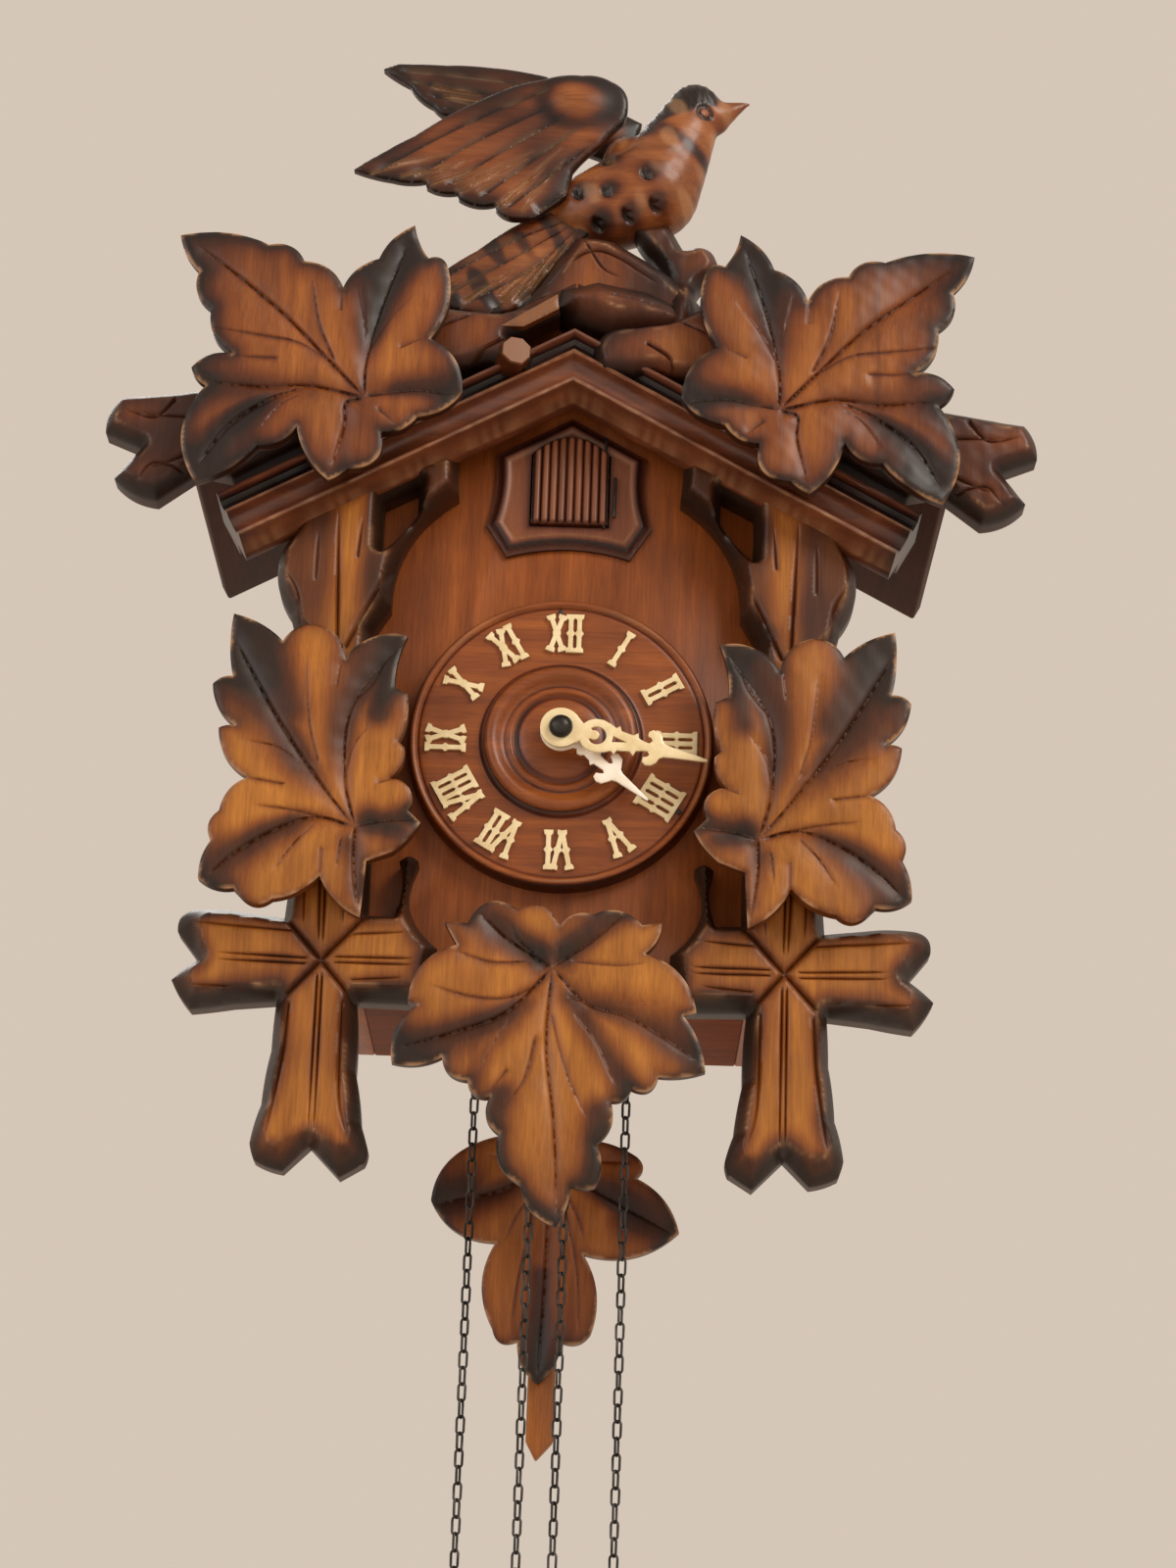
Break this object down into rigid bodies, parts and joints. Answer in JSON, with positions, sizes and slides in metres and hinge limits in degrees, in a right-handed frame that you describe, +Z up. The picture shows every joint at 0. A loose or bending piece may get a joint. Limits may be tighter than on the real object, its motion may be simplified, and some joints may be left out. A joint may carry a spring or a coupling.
{
  "type": "cuckoo clock",
  "caption": "Wall cuckoo clock with carved leaves and a carved bird, a wooden dial, chain weights and a leaf pendulum.",
  "frame": {"origin": "mouth of the hanging hole in the back, in the plane of the wall", "axes": "+Z up, +Y into the wall, the dial faces -Y, +X to the right of a person facing the dial"},
  "size_m": [0.3, 0.13, 0.6181],
  "materials": {
    "case_wood": "satin lacquer",
    "roof_wood": "satin lacquer",
    "back_wood": "bare",
    "dial_wood": "satin lacquer",
    "carved_gold": "satin lacquer, edges shaded dark",
    "carved_brown": "satin lacquer, edges shaded dark",
    "ivory_plastic": "moulded",
    "black_steel": "blackened",
    "bird_paint": "painted",
    "brass": "rolled",
    "steel": "drawn",
    "bellows_cloth": "thin",
    "weight_iron": "brown lacquer"
  },
  "bodies": {
    "case": {"case_side_left": "case_wood", "case_side_right": "case_wood", "case_floor": "back_wood", "back_gable_board": "back_wood", "back_bottom_rail": "back_wood", "back_hinge_pins": "steel", "front_board": "case_wood", "roof_board_left": "roof_wood", "roof_board_right": "roof_wood", "fascia_left": "roof_wood", "fascia_right": "roof_wood", "escutcheon": "case_wood", "dial": "dial_wood", "dial_numerals": "ivory_plastic", "dial_nails": "black_steel", "frame_left": "carved_gold", "frame_right": "carved_gold", "leaf_left": "carved_gold", "leaf_right": "carved_gold", "leaf_bottom": "carved_gold", "leaf_top_left": "carved_brown", "leaf_top_right": "carved_brown", "roof_branch": "carved_brown", "top_bird": "carved_brown", "cuckoo_door_wire": "black_steel", "cuckoo_guide": "back_wood", "front_plate": "brass", "back_plate": "brass", "plate_pillars": "brass", "whistle_boxes": "back_wood", "bellows_cloths": "bellows_cloth", "chain_time_load": "black_steel", "chain_time_free": "black_steel", "chain_strike_free": "black_steel", "chain_strike_load": "black_steel", "chain_end_fittings": "black_steel", "weight_time": "weight_iron", "weight_strike": "weight_iron"},
    "back_door": {"back_door": "back_wood", "gong_block": "back_wood", "gong_coil": "steel"},
    "cuckoo_door": {"cuckoo_door": "case_wood"},
    "cuckoo": {"cuckoo": "bird_paint", "cuckoo_bar": "steel"},
    "minute": {"centre_arbor": "steel", "minute_hand": "ivory_plastic", "hand_nut": "black_steel"},
    "hour": {"hour_wheel": "brass", "hour_hand": "ivory_plastic"},
    "motion": {"motion_wheel": "brass"},
    "time_wheel": {"time_wheel": "brass"},
    "strike_wheel": {"strike_wheel": "brass"},
    "escape_wheel": {"escape_wheel": "brass"},
    "pendulum": {"anchor": "steel", "pendulum_leader": "steel", "pendulum_rod": "carved_brown", "pendulum_leaf": "carved_brown"},
    "hammer": {"gong_hammer": "steel"},
    "bellows_left": {"bellows_lid_left": "back_wood"},
    "bellows_right": {"bellows_lid_right": "back_wood"}
  },
  "joints": [
    {"name": "back_door_hinge", "type": "hinge", "parent": "case", "child": "back_door", "pos_m": [-0.0565, -0.0055, -0.062], "axis": [0, 0, 1], "range_deg": [0, 95]},
    {"name": "cuckoo_door_hinge", "type": "hinge", "parent": "case", "child": "cuckoo_door", "pos_m": [0.0113, -0.0964, 0.026], "axis": [0, 0, 1], "range_deg": [0, 100]},
    {"name": "cuckoo_slide", "type": "slide", "parent": "case", "child": "cuckoo", "axis": [0, -1, 0], "range_m": [0, 0.032]},
    {"name": "minute_turn", "type": "hinge", "parent": "case", "child": "minute", "pos_m": [0, -0.06, -0.062], "axis": [0, 1, 0], "continuous": true},
    {"name": "hour_turn", "type": "hinge", "parent": "case", "child": "hour", "pos_m": [0, -0.09, -0.062], "axis": [0, 1, 0], "continuous": true},
    {"name": "motion_turn", "type": "hinge", "parent": "case", "child": "motion", "pos_m": [0.012, -0.08, -0.062], "axis": [0, 1, 0], "continuous": true},
    {"name": "time_wheel_turn", "type": "hinge", "parent": "case", "child": "time_wheel", "pos_m": [-0.01475, -0.06, -0.088], "axis": [0, 1, 0], "continuous": true},
    {"name": "strike_wheel_turn", "type": "hinge", "parent": "case", "child": "strike_wheel", "pos_m": [0.01475, -0.06, -0.088], "axis": [0, 1, 0], "continuous": true},
    {"name": "escape_wheel_turn", "type": "hinge", "parent": "case", "child": "escape_wheel", "pos_m": [0, -0.06, -0.036], "axis": [0, 1, 0], "continuous": true},
    {"name": "pendulum_swing", "type": "hinge", "parent": "case", "child": "pendulum", "pos_m": [0, -0.06, -0.018], "axis": [0, 1, 0], "range_deg": [-4, 4]},
    {"name": "hammer_lift", "type": "hinge", "parent": "case", "child": "hammer", "pos_m": [0.024, -0.04, -0.042], "axis": [0, -1, 0], "range_deg": [0, 18]},
    {"name": "bellows_left_lift", "type": "hinge", "parent": "case", "child": "bellows_left", "pos_m": [-0.05, -0.03, -0.0185], "axis": [-1, 0, 0], "range_deg": [0, 12]},
    {"name": "bellows_right_lift", "type": "hinge", "parent": "case", "child": "bellows_right", "pos_m": [0.05, -0.03, -0.0185], "axis": [-1, 0, 0], "range_deg": [0, 12]}
  ],
  "couplings": [
    {"joint": "cuckoo_slide", "follows": "cuckoo_door_hinge", "m_per_rad": 0.018316},
    {"joint": "minute_turn", "follows": "time_wheel_turn", "ratio": -3},
    {"joint": "hour_turn", "follows": "time_wheel_turn", "ratio": -0.25},
    {"joint": "motion_turn", "follows": "time_wheel_turn", "ratio": 1},
    {"joint": "escape_wheel_turn", "follows": "time_wheel_turn", "ratio": 6.9231}
  ]
}
